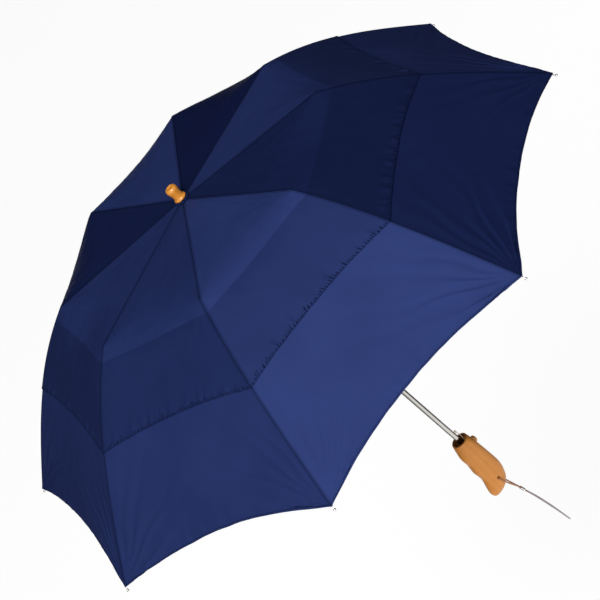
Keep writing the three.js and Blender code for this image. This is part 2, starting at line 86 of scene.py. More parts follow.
def make_camera():
    """The photograph's view, rolled because the real umbrella lies tilted and this one stands upright."""
    camera = bpy.data.objects.new("camera", bpy.data.cameras.new("camera"))
    bpy.context.scene.collection.objects.link(camera)
    back = -CAMERA_FORWARD
    right = (CAMERA_RIGHT - back * CAMERA_RIGHT.dot(back)).normalized()
    turn = Matrix((right, back.cross(right), back)).transposed().to_4x4()
    camera.matrix_world = Matrix.Translation(CAMERA_PLACE) @ turn
    camera.data.lens = CAMERA_LENS
    camera.data.sensor_width = 36
    camera.data.clip_end = 100
    bpy.context.scene.camera = camera


make_camera()


# ------------------------------------------------------------------ materials
class Nodes:
    """A material's node tree, with short calls for the nodes that the finishes share."""

    def __init__(self, name):
        self.material = bpy.data.materials.new(name)
        self.material.use_nodes = True
        self.tree = self.material.node_tree
        self.shader = self.tree.nodes["Principled BSDF"]
        self.output = self.tree.nodes["Material Output"]

    def set(self, **values):
        """Sets the shader's own sockets, named in lower case with underscores."""
        for key, value in values.items():
            self.shader.inputs[key.replace("_", " ").title().replace("Ior", "IOR")].default_value = value
        return self

    def add(self, kind, **settings):
        node = self.tree.nodes.new(kind)
        for key, value in settings.items():
            setattr(node, key, value)
        return node

    def link(self, source, target):
        self.tree.links.new(source, target)

    def feed(self, node, name, value):
        """Puts a number or another node's output into a socket."""
        socket = node.inputs[name]
        if isinstance(value, bpy.types.NodeSocket):
            self.link(value, socket)
        else:
            socket.default_value = value

    def math(self, operation, a, b=0.0, c=0.0, clamp=False):
        node = self.add("ShaderNodeMath", operation=operation, use_clamp=clamp)
        for i, value in enumerate((a, b, c)):
            self.feed(node, i, value)
        return node.outputs[0]

    def place(self, source="Object", scale=(1, 1, 1)):
        """A texture's coordinates, scaled."""
        coordinates = self.add("ShaderNodeTexCoord")
        mapping = self.add("ShaderNodeMapping")
        mapping.inputs["Scale"].default_value = scale
        self.link(coordinates.outputs[source], mapping.inputs["Vector"])
        return mapping.outputs[0]

    def noise(self, where, scale, detail=3.0, roughness=0.5):
        node = self.add("ShaderNodeTexNoise")
        self.link(where, node.inputs["Vector"])
        for key, value in (("Scale", scale), ("Detail", detail), ("Roughness", roughness)):
            node.inputs[key].default_value = value
        return node.outputs["Fac"]

    def ramp(self, factor, *stops):
        """A colour ramp through stops of (position, colour)."""
        node = self.add("ShaderNodeValToRGB")
        self.link(factor, node.inputs[0])
        elements = node.color_ramp.elements
        while len(elements) < len(stops):
            elements.new(0.5)
        for element, (position, colour) in zip(elements, stops):
            element.position = position
            element.color = (*colour, 1)
        return node.outputs[0]

    def mix(self, factor, a, b, blend="MIX"):
        node = self.add("ShaderNodeMix", data_type="RGBA", blend_type=blend)
        self.feed(node, 0, factor)
        for i, value in ((6, a), (7, b)):
            self.feed(node, i, value if isinstance(value, bpy.types.NodeSocket) else (*value, 1))
        return node.outputs[2]

    def between(self, value, low, high):
        """0 at low and below, 1 at high and above."""
        node = self.add("ShaderNodeMapRange", interpolation_type="SMOOTHSTEP")
        for name, x in (("Value", value), ("From Min", low), ("From Max", high)):
            self.feed(node, name, x)
        return node.outputs[0]

    def bump(self, height, distance, strength=1.0):
        """Adds a bump on top of those already there."""
        node = self.add("ShaderNodeBump")
        node.inputs["Distance"].default_value = distance
        node.inputs["Strength"].default_value = strength
        self.link(height, node.inputs["Height"])
        if self.shader.inputs["Normal"].is_linked:
            self.link(self.shader.inputs["Normal"].links[0].from_socket, node.inputs["Normal"])
        self.link(node.outputs[0], self.shader.inputs["Normal"])
        return self

    def colour(self, socket):
        self.link(socket, self.shader.inputs["Base Color"])
        return self

    def roughness(self, socket):
        self.link(socket, self.shader.inputs["Roughness"])
        return self


NAVY = (0.0185, 0.0315, 0.116)
NAVY_WORN = (0.0215, 0.036, 0.130)
NAVY_PAINTED_SHADE = (0.0045, 0.008, 0.036)           # painted shade of the darkest gores
NAVY_THREAD = (0.004, 0.007, 0.030)
NAVY_GLOW = (0.035, 0.065, 0.33)             # light that comes through the cloth
NAVY_GLOSS = (0.50, 0.62, 1.0)
SINGLE_LAYER_PAINTED_GLOW = (1.10, 1.10, 1.10)            # painted light: one layer, with light behind it, painted lighter
TWO_LAYERS_PAINTED_SHADE = (0.74, 0.75, 0.78)              # painted shade: the top layer, where the lower one backs it, painted darker
WEAVE = 9000.0                               # radians of the weave's wave per metre, 0.7 mm a thread


def cloth_material(name="navy_cloth", glow=0.24):
    """Calendered polyester: fine weave, soft gloss, felled seams on the ribs, stitched, gathered edges."""
    n = Nodes(name)
    uv = n.add("ShaderNodeUVMap", uv_map="cloth")
    parts = n.add("ShaderNodeSeparateXYZ")
    n.link(uv.outputs[0], parts.inputs[0])
    across, along = parts.outputs[0], parts.outputs[1]
    edge = n.add("ShaderNodeAttribute", attribute_name="edge").outputs["Fac"]
    past = n.add("ShaderNodeAttribute", attribute_name="past_under_edge").outputs["Fac"]
    backed = n.between(past, -0.0003, 0.0003)
    painted_gore_shade = n.add("ShaderNodeAttribute", attribute_name="painted_gore_shade").outputs["Fac"]

    def line(value, centre, half, soft):
        """1 within half of the centre, fading out over soft."""
        off = n.math("ABSOLUTE", n.math("SUBTRACT", value, centre))
        return n.math("SUBTRACT", 1.0, n.between(off, half, half + soft))

    def dashes(value, per_metre):
        return n.math("GREATER_THAN", n.math("SINE", n.math("MULTIPLY", value, per_metre)), -0.35)

    from_rib = n.math("ABSOLUTE", across)
    seam = line(from_rib, 0.0, 0.0005, 0.0009)
    rib_stitch = n.math("MULTIPLY", line(from_rib, STITCH_INSET * MM, 0.0002, 0.0004), dashes(along, 2500.0))
    hem_stitch = n.math("MULTIPLY", line(edge, STITCH_INSET * MM, 0.0004, 0.0006), dashes(across, 2300.0))
    hem_stitch = n.math("MULTIPLY", hem_stitch, n.math("SUBTRACT", 1.0, backed))
    # the thread draws the vent's edge into short, uneven gathers; their dark ticks are painted shade in the
    # gathers' folds
    reach = n.noise(n.place("UV", (95, 0, 1)), 1.0, 2.0)
    depth = n.math("ADD", 0.0048, n.math("MULTIPLY", n.between(reach, 0.46, 0.7), 0.010))
    where = n.math("ADD", n.math("MULTIPLY", across, 1350.0),
                   n.math("MULTIPLY", n.noise(n.place("UV", (70, 25, 1)), 1.0, 2.0), 14.0))
    gather = n.between(n.math("SINE", where), 0.25, 0.85)
    fade = n.math("SUBTRACT", 1.0, n.between(edge, n.math("MULTIPLY", depth, 0.5), depth))
    on_vent = n.math("ADD", 0.12, n.math("MULTIPLY", backed, 0.88))
    gather = n.math("MULTIPLY", n.math("MULTIPLY", gather, fade), on_vent)
    thread = n.math("MAXIMUM", n.math("MAXIMUM", seam, rib_stitch), hem_stitch, clamp=True)

    patchy = n.noise(n.place("Object", (1, 1, 1)), 9.0, 3.0, 0.55)
    single = n.mix(n.between(patchy, 0.3, 0.72), NAVY, NAVY_WORN)
    # painted light and shade: one layer painted lighter for the light through it, two layers painted darker
    single = n.mix(1.0, single, SINGLE_LAYER_PAINTED_GLOW, "MULTIPLY")
    base = n.mix(backed, single, n.mix(1.0, single, TWO_LAYERS_PAINTED_SHADE, "MULTIPLY"))
    # painted shade: whole gores darkened for the light they lose across the weave
    base = n.mix(painted_gore_shade, base, NAVY_PAINTED_SHADE)
    # marks: seams and stitches in thread colour, and the painted shade of the gathers
    marks = n.math("MAXIMUM", n.math("MULTIPLY", thread, 0.8), n.math("MULTIPLY", gather, 0.95))
    n.colour(n.mix(marks, base, NAVY_THREAD))
    warp = n.math("SINE", n.math("MULTIPLY", across, WEAVE))
    weft = n.math("SINE", n.math("MULTIPLY", along, WEAVE))
    n.roughness(n.math("ADD", 0.46, n.math("MULTIPLY", patchy, 0.1)))
    n.set(specular_ior_level=0.04)
    n.shader.inputs["Specular Tint"].default_value = (*NAVY_GLOSS, 1)
    crease = n.noise(n.place("UV", (90, 14, 1)), 1.0, 4.0, 0.6)
    n.bump(n.math("MULTIPLY", warp, weft), 0.00003)
    n.bump(crease, 0.0006, 0.2)
    n.bump(n.math("MULTIPLY", n.math("ADD", thread, gather), -1.0), 0.0005)

    through = n.add("ShaderNodeBsdfTranslucent")
    n.link(n.mix(n.math("MULTIPLY", thread, 0.9), NAVY_GLOW, NAVY_THREAD), through.inputs["Color"])
    blend = n.add("ShaderNodeMixShader")
    blend.inputs[0].default_value = glow
    n.link(n.shader.outputs[0], blend.inputs[1])
    n.link(through.outputs[0], blend.inputs[2])
    n.link(blend.outputs[0], n.output.inputs["Surface"])
    return n.material


END_GRAIN_AND_SHADE_WOOD = (0.16, 0.062, 0.022)            # end grain on the rim, and painted shade inside the hollow mouth


def wood_material(name, light, dark, scale=1.0, darken_rim_and_shade_mouth=False, varnish=0.2):
    """Honey-coloured turned or carved wood, grain along the shaft, under a satin varnish."""
    n = Nodes(name)
    where = n.place("Object", (1, 1, 0.07))
    rings = n.add("ShaderNodeTexWave", wave_type="BANDS", bands_direction="X")
    n.link(where, rings.inputs["Vector"])
    for key, value in (("Scale", 26 * scale), ("Distortion", 9.0), ("Detail", 4.0), ("Detail Scale", 2.2)):
        rings.inputs[key].default_value = value
    fibres = n.noise(n.place("Object", (1, 1, 0.02)), 1700 * scale, 4.0, 0.6)
    clouds = n.noise(n.place("Object", (1, 1, 0.4)), 45 * scale, 3.0)
    grain = n.math("ADD", n.math("MULTIPLY", rings.outputs["Fac"], 0.10), n.math("MULTIPLY", fibres, 0.42))
    grain = n.math("ADD", grain, n.math("MULTIPLY", clouds, 0.30))
    between = tuple((a + b) / 2 for a, b in zip(light, dark))
    colour = n.ramp(grain, (0.16, dark), (0.42, between), (0.68, light))
    if darken_rim_and_shade_mouth:
        height = n.add("ShaderNodeSeparateXYZ")
        n.link(n.place("Object"), height.inputs[0])
        reach = n.math("POWER", n.math("ADD", n.math("POWER", height.outputs[0], 2.0),
                                       n.math("POWER", height.outputs[1], 2.0)), 0.5)
        inside = n.math("SUBTRACT", 1.0, n.between(reach, CUP_R * MM, (CUP_R + 0.3) * MM))
        top = n.between(height.outputs[2], (MOUTH_Z - 1.0) * MM, (MOUTH_Z - 0.1) * MM)
        depth = n.between(height.outputs[2], (MOUTH_Z - CUP_DEPTH - 2) * MM, (MOUTH_Z - CUP_DEPTH) * MM)
        # painted shade: the walls and floor of the hollow mouth are darkened; the top millimetre darkens as
        # end grain
        mouth_shade = n.math("MULTIPLY", inside, depth)
        colour = n.mix(n.math("MAXIMUM", n.math("MULTIPLY", top, 0.3), n.math("MULTIPLY", mouth_shade, 0.8)),
                       colour, END_GRAIN_AND_SHADE_WOOD)
    n.colour(colour)
    n.roughness(n.math("ADD", 0.34, n.math("MULTIPLY", fibres, 0.16)))
    n.set(coat_weight=varnish, coat_roughness=0.22 - 0.14 * varnish, specular_ior_level=0.3)
    n.bump(fibres, 0.00006, 0.7)
    return n.material


def metal_material(name, colour, roughness, streaks=(1, 1, 0.02), wear=0.08, rim=(1, 1, 1)):
    """Drawn or stamped metal with fine lengthwise marks."""
    n = Nodes(name)
    marks = n.noise(n.place("Object", streaks), 2200, 3.0)
    smears = n.noise(n.place("Object"), 60, 3.0)
    n.colour(n.mix(n.math("MULTIPLY", smears, 0.35), colour, tuple(0.72 * c for c in colour)))
    n.roughness(n.math("ADD", roughness, n.math("MULTIPLY", marks, wear)))
    n.set(metallic=1.0)
    n.shader.inputs["Specular Tint"].default_value = (*rim, 1)
    n.bump(marks, 0.00001, 0.6)
    return n.material


def plastic_material(name, colour, roughness):
    """Moulded plastic with a fine spark-eroded grain."""
    n = Nodes(name)
    grain = n.noise(n.place("Object"), 3200, 2.0)
    smears = n.noise(n.place("Object"), 90, 3.0)
    n.colour(n.mix(smears, colour, tuple(min(1.0, 1.35 * c + 0.004) for c in colour)))
    n.roughness(n.math("ADD", roughness, n.math("MULTIPLY", smears, 0.12)))
    n.bump(grain, 0.00002, 0.8)
    return n.material


def leather_material():
    """Waxed thong: tan at the handle, grey further down."""
    n = Nodes("leather_thong")
    height = n.add("ShaderNodeSeparateXYZ")
    n.link(n.place("Object"), height.inputs[0])
    fibres = n.noise(n.place("Object", (1, 1, 0.25)), 1400, 4.0)
    tan = n.ramp(fibres, (0.3, (0.22, 0.075, 0.022)), (0.75, (0.47, 0.19, 0.07)))
    grey = n.ramp(fibres, (0.3, (0.20, 0.165, 0.17)), (0.75, (0.42, 0.37, 0.385)))
    n.colour(n.mix(n.between(height.outputs[2], -0.108, -0.088), grey, tan))
    n.roughness(n.math("ADD", 0.38, n.math("MULTIPLY", fibres, 0.2)))
    n.set(coat_weight=0.15, coat_roughness=0.3)
    n.bump(fibres, 0.00012, 0.8)
    return n.material


HONEY = wood_material("handle_wood", (0.69, 0.285, 0.050), (0.46, 0.155, 0.022), darken_rim_and_shade_mouth=True)
FINIAL_WOOD = wood_material("finial_wood", (0.72, 0.30, 0.04), (0.52, 0.18, 0.018), 1.3, varnish=0.9)
BLOCK_WOOD = wood_material("block_wood", (0.62, 0.28, 0.07), (0.44, 0.17, 0.035), 1.6)
CHROME = metal_material("chrome", (0.66, 0.64, 0.60), 0.08, wear=0.05, rim=(0.05, 0.05, 0.05))
STEEL = metal_material("rib_steel", (0.60, 0.61, 0.63), 0.24, (1, 1, 1), 0.14)
SPRING_STEEL = metal_material("spring_steel", (0.42, 0.42, 0.43), 0.30, (1, 1, 1), 0.14)
NICKEL = metal_material("nickel_tips", (0.80, 0.79, 0.77), 0.14, (1, 1, 1), 0.08)
BLACK = plastic_material("black_plastic", (0.012, 0.012, 0.013), 0.42)
CLEAR = plastic_material("clear_plastic", (0.66, 0.57, 0.42), 0.30)
CLEAR.node_tree.nodes["Principled BSDF"].inputs["Transmission Weight"].default_value = 0.45
THONG = leather_material()
NAVY_CLOTH = cloth_material()
ROSETTE_CLOTH = cloth_material("rosette_cloth", 0.05)


# ------------------------------------------------------------------ mesh helpers
def mesh_object(name, vertices, faces, material, smooth=True):
    mesh = bpy.data.meshes.new(name)
    mesh.from_pydata([tuple(v) for v in vertices], [], [tuple(f) for f in faces])
    mesh.validate()
    mesh.update()
    if smooth:
        mesh.polygons.foreach_set("use_smooth", [True] * len(mesh.polygons))
    made = bpy.data.objects.new(name, mesh)
    bpy.context.scene.collection.objects.link(made)
    mesh.materials.append(material)
    return made


def ring_faces(rows, width, start=0):
    """Quads between rings of points laid one after another."""
    faces = []
    for i in range(rows - 1):
        for j in range(width):
            a, b = start + i * width + j, start + i * width + (j + 1) % width
            faces.append((a, b, b + width, a + width))
    return faces


def lathe(name, profile, material, sides=64, centre=(0, 0), ripple=None):
    """A turned piece from (radius, height) in mm; ripple(angle, i) gives extra radius and height."""
    points = []
    for i, (r, z) in enumerate(profile):
        for j in range(sides):
            angle = 2 * math.pi * j / sides
            dr, dz = ripple(angle, i) if ripple else (0, 0)
            points.append(((centre[0] + (r + dr) * math.cos(angle)) * MM,
                           (centre[1] + (r + dr) * math.sin(angle)) * MM, (z + dz) * MM))
    rings = ring_faces(len(profile), sides)
    last = (len(profile) - 1) * sides
    if profile[0][0] > 0 and profile[0] == profile[-1]:
        rings = [tuple(v % last for v in face) for face in rings]
        points = points[:last]
    else:
        rings.append(tuple(reversed(range(sides))))
        rings.append(tuple(range(last, last + sides)))
    return mesh_object(name, points, rings, material)


def bevel_edges(piece, width, angle):
    """Rounds a piece's sharp edges, by a width in mm, where they turn by more than an angle in degrees."""
    bevel = piece.modifiers.new("edges", "BEVEL")
    bevel.width, bevel.segments = width * MM, 2
    bevel.limit_method, bevel.angle_limit = "ANGLE", math.radians(angle)


def smooth_by_angle(piece, degrees):
    """Shades a piece smooth, apart from edges that turn by more than that."""
    mesh = piece.data
    mesh.polygons.foreach_set("use_smooth", [True] * len(mesh.polygons))
    mesh.set_sharp_from_angle(angle=math.radians(degrees))


def cut_with(piece, *tools):
    """Takes the tools' shapes out of a piece for good, and removes the tools."""
    for tool in tools:
        boolean = piece.modifiers.new("cut", "BOOLEAN")
        boolean.operation, boolean.solver, boolean.object = "DIFFERENCE", "EXACT", tool
    bpy.context.view_layer.update()
    evaluated = piece.evaluated_get(bpy.context.evaluated_depsgraph_get())
    mesh = bpy.data.meshes.new_from_object(evaluated)
    piece.modifiers.clear()
    old, piece.data = piece.data, mesh
    bpy.data.meshes.remove(old)
    for tool in tools:
        bpy.data.objects.remove(tool)


def rod_along(axis, radius, low, high, at, sides=48):
    """A cutting cylinder along x, y or z; low, high, at and radius in mm."""
    points = []
    for end in (low, high):
        for j in range(sides):
            angle = 2 * math.pi * j / sides
            offsets = [radius * math.cos(angle), radius * math.sin(angle)]
            offsets.insert(axis, 0)
            place = [centre + offset for centre, offset in zip(at, offsets)]
            place[axis] = end
            points.append([v * MM for v in place])
    faces = ring_faces(2, sides) + [tuple(reversed(range(sides))), tuple(range(sides, 2 * sides))]
    if axis == 1:
        faces = [tuple(reversed(f)) for f in faces]
    return mesh_object("cutter", points, faces, HONEY)


# ------------------------------------------------------------------ wrist strap
STRAP_SIDE = [
    (4.2, 0.3, -32.5), (4.2, 6, -32.5), (4.2, 11, -32.6), (4, 14.2, -34.6), (3, 15.4, -39.5),
    (1.2, 14.6, -48), (-1.4, 11.4, -58.5), (-4, 6.6, -69), (-6, 2.6, -77.5), (-7.2, 1.6, -83),
    (-9.2, 1.6, -95), (-11.2, 3.2, -106), (-14, 8, -123), (-17, 12.8, -146), (-19.4, 14.6, -168),
    (-20.9, 11.6, -186), (-21.6, 5.6, -195.2),
]
STRAP_BOTTOM = (-21.8, 0, -197.4)            # the other half mirrors the first one in y
STRAP_DIAMETER = 2.4
STRAP_STEP = 1.5
CLAMP_TOP = np.array((-7.4, 0, -84.0))
CLAMP_END = np.array((-9.2, 0, -95.0))
CLAMP_WIRE = 0.55                            # radius of the wire
CLAMP_WIDE, CLAMP_DEEP = 3.35, 1.75          # half sizes of a turn, round both runs of the thong


def centripetal(points, step):
    """A smooth line through the points, in steps of about that length."""
    p = [2 * points[0] - points[1], *points, 2 * points[-1] - points[-2]]
    line = []
    for a, b, c, d in zip(p, p[1:], p[2:], p[3:]):
        t = np.cumsum([0, *(np.linalg.norm(v) ** 0.5 for v in (b - a, c - b, d - c))])
        for s in np.linspace(t[1], t[2], max(2, math.ceil(np.linalg.norm(c - b) / step)), endpoint=False):
            ab = a + (b - a) * (s - t[0]) / (t[1] - t[0])
            bc = b + (c - b) * (s - t[1]) / (t[2] - t[1])
            cd = c + (d - c) * (s - t[2]) / (t[3] - t[2])
            abc = ab + (bc - ab) * (s - t[0]) / (t[2] - t[0])
            bcd = bc + (cd - bc) * (s - t[1]) / (t[3] - t[1])
            line.append(abc + (bcd - abc) * (s - t[1]) / (t[2] - t[1]))
    return np.array([*line, points[-1]])


def tube(name, line, radius, material, sides=12):
    """A tube of that radius in mm along a line in mm, with closed ends."""
    tangents = np.gradient(line, axis=0)
    tangents /= np.linalg.norm(tangents, axis=1)[:, None]
    side = np.cross(tangents[0], (0, 0, 1.0))
    points = []
    for at, forward in zip(line, tangents):
        side = side - forward * (side @ forward)
        side /= np.linalg.norm(side)
        up = np.cross(forward, side)
        for j in range(sides):
            angle = 2 * math.pi * j / sides
            points.append((at + radius * (math.cos(angle) * side + math.sin(angle) * up)) * MM)
    last = (len(line) - 1) * sides
    faces = ring_faces(len(line), sides) + [tuple(reversed(range(sides))), tuple(range(last, last + sides))]
    return mesh_object(name, points, faces, material)


def wrist_strap():
    """A thong that hangs from both ends of its hole in one loop."""
    far_side = [(x, -y, z) for x, y, z in reversed(STRAP_SIDE)]
    route = [np.array(p, float) for p in (*STRAP_SIDE, STRAP_BOTTOM, *far_side)]
    line = centripetal(route, STRAP_STEP)
    strap = tube("wrist_thong", line, STRAP_DIAMETER / 2, THONG)
    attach(strap, "grip")
    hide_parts("wrist_strap")
    return strap, line


def strap_clamp():
    """Seven turns of sprung wire hold the two runs of the thong side by side."""
    turns, per_turn = 7, 28
    reach = CLAMP_END - CLAMP_TOP
    wide = np.array((0, 1.0, 0))
    deep = np.cross(reach / np.linalg.norm(reach), wide)
    line = []
    for i in range(turns * per_turn + 1):
        angle = 2 * math.pi * i / per_turn
        share = 0.06 + 0.88 * i / (turns * per_turn)
        line.append(CLAMP_TOP + reach * share
                    + CLAMP_WIDE * math.sin(angle) * wide + CLAMP_DEEP * math.cos(angle) * deep)
    clamp = tube("strap_coil", np.array(line), CLAMP_WIRE, NICKEL, 10)
    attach(clamp, "grip")
    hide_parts("strap_clamp")
    return clamp


strap, strap_line = wrist_strap()
coil = strap_clamp()


# ------------------------------------------------------------------ canopy surface
SOFT_REACH = 88                              # how far the elbow's kink is rounded between two ribs
SECTORS = 6                                  # pieces of each gore's inner cloth
STRIP_COLUMNS = 52
BOTTOM_FOLDS = (0.055, 0.025)
BOTTOM_BREAKS = (UNDER_EDGE, 0.8, 1.0)       # ends of the two bottom pieces, as shares of elbow to tip
PUCKER = 1.1                                 # height of the gathers above the vent's stitching
HEM_PUCKER = 0.7
CREASES = ((61, 1.7), (37, 2.3), (97, 1.0))  # waves over a gore's width, and their shift from gore to gore
TIP_FOLDS = (OUTER, 75, 3.4, 24)             # where the folds start, their reach, height and number
ELBOW_FOLDS = (0, 55, 0.8, 13)
FOLD_FADE = 48                               # folds fade in over this distance from where they start
NO_EDGE = 90.0                               # stands for "no free edge near here"
# share of painted shade in each gore: neighbouring panels lie across the weave and catch less light, so they
# are painted darker
PAINTED_GORE_SHADES = [0.35, 0.0, 0.75, 0.25, 0.9, 0.1, 0.8, 0.3]
rng = np.random.default_rng(7)


class Ripples:
    """Smooth seeded noise: a few crossing waves of about that wavelength."""

    def __init__(self, wavelength, count=9):
        self.k = 2 * math.pi / (wavelength * rng.uniform(0.6, 1.7, count))
        self.heading = rng.uniform(0, math.pi, count)
        self.phase = rng.uniform(0, 2 * math.pi, count)

    def __call__(self, x, y):
        total = 0
        for k, heading, phase in zip(self.k, self.heading, self.phase):
            total = total + np.sin(k * (x * math.cos(heading) + y * math.sin(heading)) + phase)
        return total / len(self.k) ** 0.5


broad, fine, puckers, hem_puckers = Ripples(150), Ripples(26), Ripples(11), Ripples(17)
ray_wobble = Ripples(0.9)


def rib_profile(q):
    """Radius and height of the cloth on a rib, q millimetres outward from the elbow."""
    inner = np.clip(1 + q / INNER, 0, None)
    crown = np.array((CROWN_R, 0.0))
    u = np.clip(q / OUTER, 0, None)
    chord = TIP - ELBOW
    normal = np.array((-chord[1], chord[0])) / OUTER
    bow = RIB_BOW * u * (1 - u) * (2 - u) / 2
    outside = ELBOW + u[..., None] * chord + bow[..., None] * normal
    inside = crown + np.minimum(inner, 1)[..., None] * (ELBOW - crown)
    return np.where((q < 0)[..., None], inside, outside)


def soft_profile(q, across):
    """The profile between two ribs, where the cloth rounds the elbow's kink."""
    middle = 1 - (2 * across - 1) ** 2
    reach = np.minimum(SOFT_REACH * middle, np.maximum(q + INNER, 0))
    total, weights = 0, 0
    for x in np.linspace(-0.95, 0.95, 13):
        weight = 1 - x * x
        total = total + weight * rib_profile(q + x * reach)
        weights += weight
    return total / weights


def wrinkles(gore, across, q, r):
    """How far the cloth stands above the plain surface, in mm."""
    middle = 1 - (2 * across - 1) ** 2
    x = (across - 0.5) * 2 * r * math.sin(RIB_STEP / 2)
    shift = 900.0 * gore
    height = 0.9 * middle * broad(x + shift, q) + 0.16 * middle * fine(x + shift, 0.35 * q)
    # creases that run from the crown to the elbows
    creases = sum(np.sin(across * waves + phase * gore) for waves, phase in CREASES)
    height += 0.06 * creases * np.clip((q + INNER) / 120, 0, 1) * np.exp(-np.clip(q, 0, None) / 60)
    # pulled folds that fan out from both tips, and shorter ones from both elbows
    for side in (0, 1):
        off = (across if side == 0 else 1 - across) * 2 * r * math.sin(RIB_STEP / 2)
        for at, reach, size, rays in (TIP_FOLDS, ELBOW_FOLDS):
            back = np.abs(at - q) + 1e-3
            distance = np.hypot(off, back)
            angle = np.arctan2(off, back)
            wobble = 1.5 * ray_wobble(angle * 3, distance / 160)
            fold = np.sin(rays * angle + 2.1 * gore + 3.3 * side + wobble)
            fade = np.exp(-distance / reach) * (1 - np.exp(-(distance / FOLD_FADE) ** 2))
            fade = fade * np.clip(angle * 5, 0, 1)
            height += size * fade * fold
    # the rib's wire lifts the cloth in a narrow ridge, with a felled seam on it
    from_rib = np.minimum(across, 1 - across) * 2 * r * math.sin(RIB_STEP / 2)
    height += 0.55 * np.exp(-(from_rib / 2.4) ** 2) - 0.35 * np.exp(-(from_rib / 0.8) ** 2)
    return height


def surface(gore, across, q):
    """Points of the canopy, in mm, for arrays of across (0..1 between two ribs) and q."""
    p = soft_profile(q, across)
    z = APEX_Z + p[..., 1] + wrinkles(gore, across, q, p[..., 0])
    a, b = FIRST_RIB + RIB_STEP * gore, FIRST_RIB + RIB_STEP * (gore + 1)
    x = p[..., 0] * ((1 - across) * math.cos(a) + across * math.cos(b))
    y = p[..., 0] * ((1 - across) * math.sin(a) + across * math.sin(b))
    return np.stack([x, y, z], axis=-1)


def normals(gore, across, q):
    """Upward unit normals by small differences; the cloth folds freely over the rib's line."""
    step_a, step_q = 0.0015, 0.4
    low, high = np.clip(across - step_a, 0, 1), np.clip(across + step_a, 0, 1)
    da = surface(gore, high, q) - surface(gore, low, q)
    dq = surface(gore, across, q + step_q) - surface(gore, across, np.maximum(q - step_q, -INNER))
    n = np.cross(dq, da)
    n /= np.linalg.norm(n, axis=-1)[..., None]
    return n * np.sign(n[..., 2:3])


def pull(across):
    """How far out an edge reaches between two ribs, as a share of its reach on a rib."""
    return 1 - HEM_PULL * (1 - (2 * across - 1) ** 2)


def cloth_piece(name, gore, across, q, edge, body, lift, inner_sides):
    """A closed thin sheet over a grid of across and q, drawn on the canopy's surface.

    The grid has a spare row or column past each side in inner_sides, so that the shading runs on unbroken.
    """
    points, up = surface(gore, across, q), normals(gore, across, q)
    top = points + up * lift[..., None]
    up = np.cross(np.gradient(top, axis=0), np.gradient(top, axis=1))
    up /= np.linalg.norm(up, axis=-1)[..., None]
    up *= np.sign(up[..., 2:3])
    rows = slice("start" in inner_sides, -1 if "end" in inner_sides else None)
    columns = slice("left" in inner_sides, -1 if "right" in inner_sides else None)
    top, up, across, q, edge = (v[rows, columns] for v in (top, up, across, q, edge))
    bottom = top - up * CLOTH
    rows, columns = across.shape
    count = rows * columns
    vertices = np.concatenate([top.reshape(-1, 3), bottom.reshape(-1, 3)]) * MM
    faces = []
    for i in range(rows - 1):
        for j in range(columns - 1):
            a = i * columns + j
            faces.append((a, a + columns, a + columns + 1, a + 1))
            faces.append(tuple(v + count for v in reversed(faces[-1])))
    rim = [j for j in range(columns)] + [i * columns + columns - 1 for i in range(1, rows)]
    rim += [(rows - 1) * columns + j for j in reversed(range(columns - 1))]
    rim += [i * columns for i in reversed(range(1, rows - 1))]
    for a, b in zip(rim, rim[1:] + rim[:1]):
        faces.append((a, b, b + count, a + count))
    first = np.cross(vertices[columns] - vertices[0], vertices[1] - vertices[0])
    if first @ up[0, 0] < 0:
        faces = [tuple(reversed(face)) for face in faces]
    piece = mesh_object(name, vertices, faces, NAVY_CLOTH)
    mesh = piece.data

    def both(values):
        """The same values for the upper and the lower face."""
        return np.concatenate([values.ravel(), values.ravel()])

    spread = 2 * soft_profile(q, across)[..., 0] * math.sin(RIB_STEP / 2)
    from_rib, outward = both((across - (across.mean() > 0.5)) * spread) * MM, both(q) * MM
    index = np.zeros(len(mesh.loops), np.int32)
    mesh.loops.foreach_get("vertex_index", index)
    uv = np.stack([from_rib[index], outward[index]], 1).astype(np.float32)
    mesh.uv_layers.new(name="cloth").data.foreach_set("uv", uv.ravel())
    # the tint attribute carries each gore's share of painted shade
    for key, values in (("edge", both(edge) * MM), ("painted_gore_shade", both(PAINTED_GORE_SHADES[gore] + 0 * q)),
                        ("past_under_edge", both(past_under_edge(name, across, q)) * MM)):
        mesh.attributes.new(key, "FLOAT", "POINT").data.foreach_set("value", values.astype(np.float32))
    mesh.normals_split_custom_set_from_vertices(
        [tuple(n) for n in np.concatenate([up.reshape(-1, 3), -up.reshape(-1, 3)])])
    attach(piece, body)
    return piece


def past_under_edge(name, across, q):
    """How far the points of a top piece lie past the lower layer's upper edge; below 0 on other pieces."""
    distance = q - UNDER_EDGE * OUTER * pull(across)
    return distance if name.startswith("top") else np.full(q.shape, -10.0)


def rows_between(start, end, step, fine_ends=()):
    """Values from start to end, closer together at the named ends."""
    values = list(np.linspace(start, end, max(2, math.ceil((end - start) / step) + 1)))
    for which in fine_ends:
        for back in (0.6, 1.6, 3.2, 5.2, 6.8, 8.6, 11.5, 15):
            values.append(start + back if which == "start" else end - back)
    return np.array(sorted(v for v in values if start <= v <= end))


def inner_cloth():
    """The cloth from the crown to the elbows, which rides on the mast."""
    pieces = []
    rows = np.append(rows_between(-INNER, 0, 6.5), 3.0)
    width, columns = 1 / SECTORS, 8
    for gore in range(RIBS):
        for k in range(SECTORS):
            spare = [side for side, there in (("left", k > 0), ("right", k < SECTORS - 1)) if there]
            steps = np.arange(-("left" in spare), columns + 1 + ("right" in spare))
            across, q = np.meshgrid(steps * width / columns + k * width, rows)
            name = f"inner_cloth_{gore + 1}_{k + 1}"
            edge = np.full(q.shape, NO_EDGE)
            piece = cloth_piece(name, gore, across, q, edge, "mast", 0 * q, [*spare, "end"])
            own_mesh(piece)
            pieces.append(piece)
    return pieces


